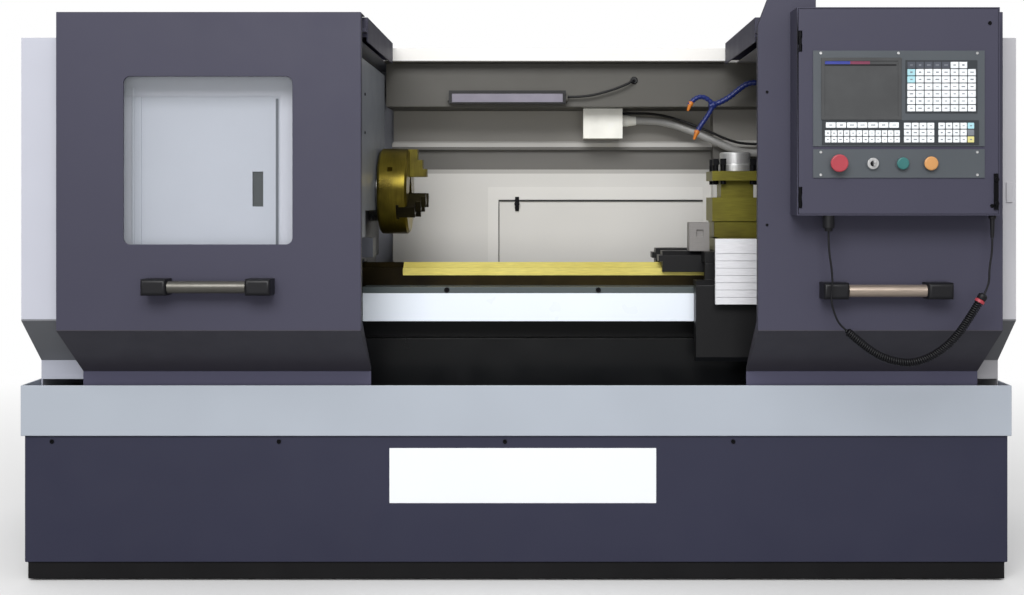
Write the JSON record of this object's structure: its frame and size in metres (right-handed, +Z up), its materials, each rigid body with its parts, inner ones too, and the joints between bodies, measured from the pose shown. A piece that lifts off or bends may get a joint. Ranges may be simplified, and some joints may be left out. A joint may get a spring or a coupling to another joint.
{
  "type": "cnc turning lathe",
  "caption": "Flat-bed CNC turning lathe with sliding front doors, a jaw chuck, an indexing tool turret, a tailstock and a control box on one door.",
  "frame": {"origin": "on the floor under the middle of the machine", "axes": "+X along the bed from chuck to tailstock, +Y from the operator's side to the back, +Z up"},
  "size_m": [2.545, 1.3, 1.486],
  "materials": {
    "slate_paint": "satin powder coat",
    "grey_paint": "satin powder coat",
    "pale_paint": "satin powder coat",
    "white_paint": "satin powder coat",
    "dark_paint": "satin enamel",
    "foot_rubber": "matt",
    "belt_rubber": "matt",
    "oiled_iron": "ground and oiled",
    "oiled_steel": "ground and oiled",
    "ground_steel": "ground",
    "black_steel": "black oxide",
    "cast_iron": "machined",
    "bright_aluminium": "turned",
    "black_plastic": "fine grain",
    "lens": "frosted",
    "blue_plastic": "moulded",
    "window_glass": "clear",
    "screen_glass": "gloss",
    "key_plastic": "printed film",
    "red_plastic": "moulded",
    "green_plastic": "moulded",
    "orange_plastic": "moulded",
    "cable_sheath": "matt"
  },
  "bodies": {
    "frame": {"base_cabinet": "slate_paint", "levelling_feet": "foot_rubber", "chip_tray": "grey_paint", "bed": "oiled_iron", "screw_cover": "white_paint", "headstock": "dark_paint", "main_motor": "dark_paint", "drive_belt": "belt_rubber", "left_guard": "pale_paint", "side_hoods": "slate_paint", "spindle_guard": "grey_paint", "right_guard": "pale_paint", "rear_wall": "white_paint", "access_panel": "white_paint", "junction_box": "white_paint", "wall_cables": "cable_sheath", "z_motor": "dark_paint"},
    "service_door": {"service_door": "pale_paint"},
    "access_latch": {"access_latch": "black_plastic"},
    "lamp": {"lamp_housing": "black_plastic", "lamp_diffuser": "lens"},
    "z_screw": {"z_screw": "ground_steel"},
    "saddle": {"saddle": "dark_paint", "apron": "dark_paint", "limit_switch_box": "grey_paint", "coolant_pipe": "ground_steel", "coolant_hose": "blue_plastic"},
    "x_screw": {"x_screw": "ground_steel"},
    "cross_slide": {"cross_slide": "oiled_iron", "turret_base": "oiled_steel", "slat_cover": "white_paint"},
    "turret": {"turret_head": "oiled_steel", "turret_cap": "bright_aluminium", "clamp_bolts": "black_steel"},
    "spindle": {"spindle": "ground_steel", "chuck_body": "oiled_steel"},
    "jaw_top": {"chuck_jaw_top": "oiled_steel"},
    "jaw_front": {"chuck_jaw_front": "oiled_steel"},
    "jaw_rear": {"chuck_jaw_rear": "oiled_steel"},
    "motor_pulley": {"motor_pulley": "cast_iron"},
    "tailstock": {"tailstock": "dark_paint"},
    "tailstock_quill": {"tailstock_quill": "ground_steel"},
    "tailstock_handwheel": {"tailstock_handwheel": "bright_aluminium"},
    "left_door": {"left_door": "slate_paint", "left_window": "window_glass", "left_handle": "ground_steel"},
    "right_door": {"right_door": "slate_paint", "right_handle": "ground_steel", "control_box": "slate_paint", "cord_coil": "cable_sheath", "cord_leads": "cable_sheath", "cord_fittings": "cable_sheath"},
    "control_lid": {"control_lid": "slate_paint", "screen": "screen_glass", "keypads": "key_plastic"},
    "estop_button": {"estop_button": "red_plastic"},
    "key_switch": {"key_switch": "bright_aluminium"},
    "start_button": {"start_button": "green_plastic"},
    "stop_button": {"stop_button": "orange_plastic"},
    "panel_latch": {"panel_latch": "black_plastic"}
  },
  "joints": [
    {"name": "left_door_slide", "type": "slide", "parent": "frame", "child": "left_door", "axis": [1, 0, 0], "range_m": [0, 0.485]},
    {"name": "right_door_slide", "type": "slide", "parent": "frame", "child": "right_door", "axis": [-1, 0, 0], "range_m": [0, 0.485]},
    {"name": "control_lid_hinge", "type": "hinge", "parent": "right_door", "child": "control_lid", "pos_m": [0.6825, -0.62, 0], "axis": [0, 0, -1], "range_deg": [0, 105]},
    {"name": "estop_press", "type": "slide", "parent": "control_lid", "child": "estop_button", "axis": [0, 1, 0], "range_m": [0, 0.005], "stiffness_N_per_m": 800},
    {"name": "key_turn", "type": "hinge", "parent": "control_lid", "child": "key_switch", "pos_m": [0.855, 0, 1.068], "axis": [0, 1, 0], "range_deg": [0, 90]},
    {"name": "start_press", "type": "slide", "parent": "control_lid", "child": "start_button", "axis": [0, 1, 0], "range_m": [0, 0.0015], "stiffness_N_per_m": 600},
    {"name": "stop_press", "type": "slide", "parent": "control_lid", "child": "stop_button", "axis": [0, 1, 0], "range_m": [0, 0.0015], "stiffness_N_per_m": 600},
    {"name": "panel_latch_turn", "type": "hinge", "parent": "control_lid", "child": "panel_latch", "pos_m": [1.149, 0, 1.001], "axis": [0, 1, 0], "range_deg": [0, 90]},
    {"name": "service_door_hinge", "type": "hinge", "parent": "frame", "child": "service_door", "pos_m": [-0.96, -0.444, 0], "axis": [0, 0, -1], "range_deg": [0, 9]},
    {"name": "access_latch_turn", "type": "hinge", "parent": "frame", "child": "access_latch", "pos_m": [-0.012, 0, 0.969], "axis": [0, 1, 0], "range_deg": [-90, 90]},
    {"name": "lamp_tilt", "type": "hinge", "parent": "frame", "child": "lamp", "pos_m": [0, 0.14, 1.282], "axis": [1, 0, 0], "range_deg": [-20, 20]},
    {"name": "spindle_turn", "type": "hinge", "parent": "frame", "child": "spindle", "pos_m": [0, 0, 1.006], "axis": [1, 0, 0], "continuous": true},
    {"name": "motor_turn", "type": "hinge", "parent": "frame", "child": "motor_pulley", "pos_m": [0, 0.2, 0.19], "axis": [1, 0, 0], "continuous": true},
    {"name": "jaw_top_slide", "type": "slide", "parent": "spindle", "child": "jaw_top", "axis": [0, 0, 1], "range_m": [-0.012, 0.015]},
    {"name": "jaw_front_slide", "type": "slide", "parent": "spindle", "child": "jaw_front", "axis": [0, -0.866, -0.5], "range_m": [-0.012, 0.015]},
    {"name": "jaw_rear_slide", "type": "slide", "parent": "spindle", "child": "jaw_rear", "axis": [0, 0.866, -0.5], "range_m": [-0.012, 0.015]},
    {"name": "z_screw_turn", "type": "hinge", "parent": "frame", "child": "z_screw", "pos_m": [0, -0.178, 0.69], "axis": [1, 0, 0], "range_deg": [-25920, 0]},
    {"name": "carriage_slide", "type": "slide", "parent": "frame", "child": "saddle", "axis": [1, 0, 0], "range_m": [-0.72, 0]},
    {"name": "x_screw_turn", "type": "hinge", "parent": "saddle", "child": "x_screw", "pos_m": [0.601, 0, 0.829], "axis": [0, 1, 0], "range_deg": [-7920, 1440]},
    {"name": "cross_feed", "type": "slide", "parent": "saddle", "child": "cross_slide", "axis": [0, 1, 0], "range_m": [-0.11, 0.02]},
    {"name": "turret_index", "type": "hinge", "parent": "cross_slide", "child": "turret", "pos_m": [0.601, -0.08, 0], "axis": [0, 0, 1], "continuous": true},
    {"name": "tailstock_slide", "type": "slide", "parent": "frame", "child": "tailstock", "axis": [1, 0, 0], "range_m": [-0.03, 0]},
    {"name": "handwheel_turn", "type": "hinge", "parent": "tailstock", "child": "tailstock_handwheel", "pos_m": [0, 0, 1.006], "axis": [1, 0, 0], "range_deg": [0, 3600]},
    {"name": "quill_slide", "type": "slide", "parent": "tailstock", "child": "tailstock_quill", "axis": [-1, 0, 0], "range_m": [0, 0.05]}
  ],
  "couplings": [
    {"joint": "jaw_front_slide", "follows": "jaw_top_slide", "ratio": 1},
    {"joint": "jaw_rear_slide", "follows": "jaw_top_slide", "ratio": 1},
    {"joint": "motor_turn", "follows": "spindle_turn", "ratio": 1.5909},
    {"joint": "z_screw_turn", "follows": "carriage_slide", "rad_per_m": 628.32},
    {"joint": "x_screw_turn", "follows": "cross_feed", "rad_per_m": 1256.6},
    {"joint": "handwheel_turn", "follows": "quill_slide", "rad_per_m": 1256.6}
  ]
}
